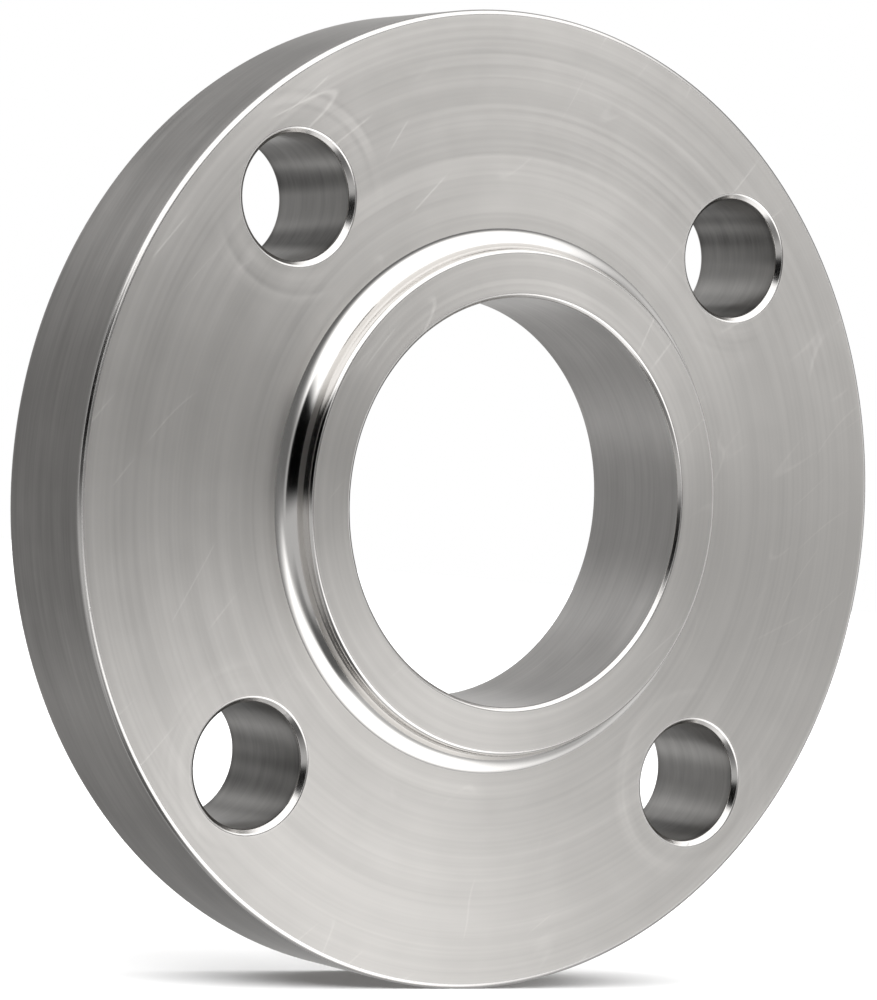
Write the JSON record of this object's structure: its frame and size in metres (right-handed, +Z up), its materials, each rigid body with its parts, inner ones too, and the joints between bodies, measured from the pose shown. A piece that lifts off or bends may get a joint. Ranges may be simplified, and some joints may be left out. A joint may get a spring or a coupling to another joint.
{
  "type": "pipe flange",
  "caption": "Lap-joint pipe flange: a flat steel ring with an open bore, a low filleted hub on one face and chamfered bolt holes, for clamping a stub end to a mating flange.",
  "frame": {"origin": "centre of the bore in the plane of the gasket-side face", "axes": "+Y along the bore axis, out of the gasket-side face towards the mating flange, so the hub points along -Y; +Z up; the bolt holes straddle the X and Z centre lines"},
  "size_m": [0.1524, 0.0254, 0.1524],
  "materials": {
    "stainless_steel": "turned and drilled stainless steel, fine concentric tool marks on the faces, bright broken edges"
  },
  "bodies": {
    "root": {"flange": "stainless_steel"}
  },
  "joints": []
}
